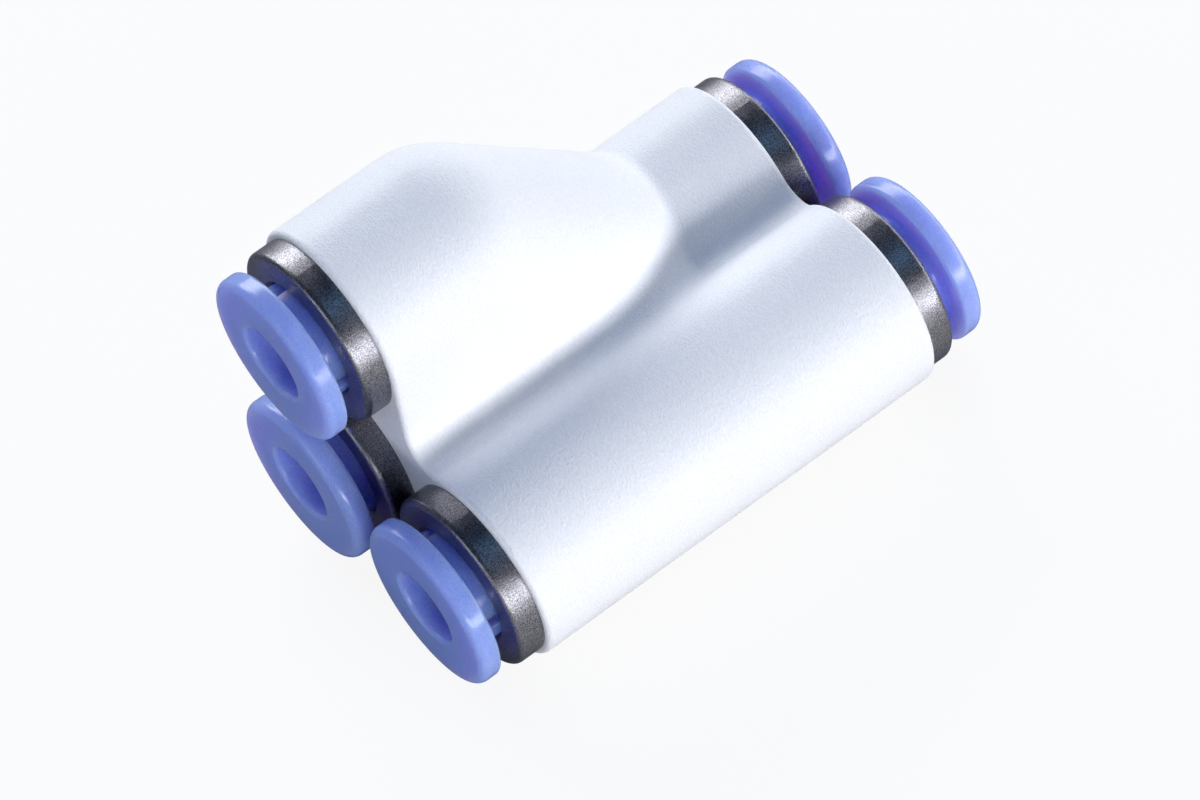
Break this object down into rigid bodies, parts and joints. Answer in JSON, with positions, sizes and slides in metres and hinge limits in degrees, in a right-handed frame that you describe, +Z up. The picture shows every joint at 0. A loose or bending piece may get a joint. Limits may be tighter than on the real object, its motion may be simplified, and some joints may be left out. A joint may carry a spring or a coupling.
{
  "type": "five-way push-in tube connector",
  "caption": "Moulded push-in tube connector: two straight barrels side by side, a branch bending up from one, and a plated ring and release collet in each port.",
  "frame": {"origin": "on the surface that the connector lies on, under the middle of its length and width", "axes": "+X along the ports from the end with three ports to the end with two, +Z up, the branch above the rear barrel at +Y"},
  "size_m": [0.0326, 0.0212, 0.0211],
  "materials": {
    "white_plastic": "fine grained moulded white",
    "nickel_plate": "nickel plated, satin",
    "blue_plastic": "smooth moulded blue",
    "spring_steel": "bright stainless strip",
    "natural_plastic": "natural moulded",
    "black_rubber": "moulded black rubber"
  },
  "bodies": {
    "connector": {"body": "white_plastic", "guide_ring_left_upper": "nickel_plate", "grab_ring_left_upper": "spring_steel", "backing_collar_left_upper": "natural_plastic", "tube_seal_left_upper": "black_rubber", "guide_ring_left_rear": "nickel_plate", "grab_ring_left_rear": "spring_steel", "backing_collar_left_rear": "natural_plastic", "tube_seal_left_rear": "black_rubber", "guide_ring_left_front": "nickel_plate", "grab_ring_left_front": "spring_steel", "backing_collar_left_front": "natural_plastic", "tube_seal_left_front": "black_rubber", "guide_ring_right_rear": "nickel_plate", "grab_ring_right_rear": "spring_steel", "backing_collar_right_rear": "natural_plastic", "tube_seal_right_rear": "black_rubber", "guide_ring_right_front": "nickel_plate", "grab_ring_right_front": "spring_steel", "backing_collar_right_front": "natural_plastic", "tube_seal_right_front": "black_rubber"},
    "collet_left_upper": {"release_collet_left_upper": "blue_plastic"},
    "collet_left_rear": {"release_collet_left_rear": "blue_plastic"},
    "collet_left_front": {"release_collet_left_front": "blue_plastic"},
    "collet_right_rear": {"release_collet_right_rear": "blue_plastic"},
    "collet_right_front": {"release_collet_right_front": "blue_plastic"}
  },
  "joints": [
    {"name": "left_upper_release", "type": "slide", "parent": "connector", "child": "collet_left_upper", "axis": [1, 0, 0], "range_m": [0, 0.0009], "stiffness_N_per_m": 600, "springref_m": -0.0006},
    {"name": "left_rear_release", "type": "slide", "parent": "connector", "child": "collet_left_rear", "axis": [1, 0, 0], "range_m": [0, 0.0009], "stiffness_N_per_m": 600, "springref_m": -0.0006},
    {"name": "left_front_release", "type": "slide", "parent": "connector", "child": "collet_left_front", "axis": [1, 0, 0], "range_m": [0, 0.0009], "stiffness_N_per_m": 600, "springref_m": -0.0006},
    {"name": "right_rear_release", "type": "slide", "parent": "connector", "child": "collet_right_rear", "axis": [-1, 0, 0], "range_m": [0, 0.0009], "stiffness_N_per_m": 600, "springref_m": -0.0006},
    {"name": "right_front_release", "type": "slide", "parent": "connector", "child": "collet_right_front", "axis": [-1, 0, 0], "range_m": [0, 0.0009], "stiffness_N_per_m": 600, "springref_m": -0.0006}
  ]
}
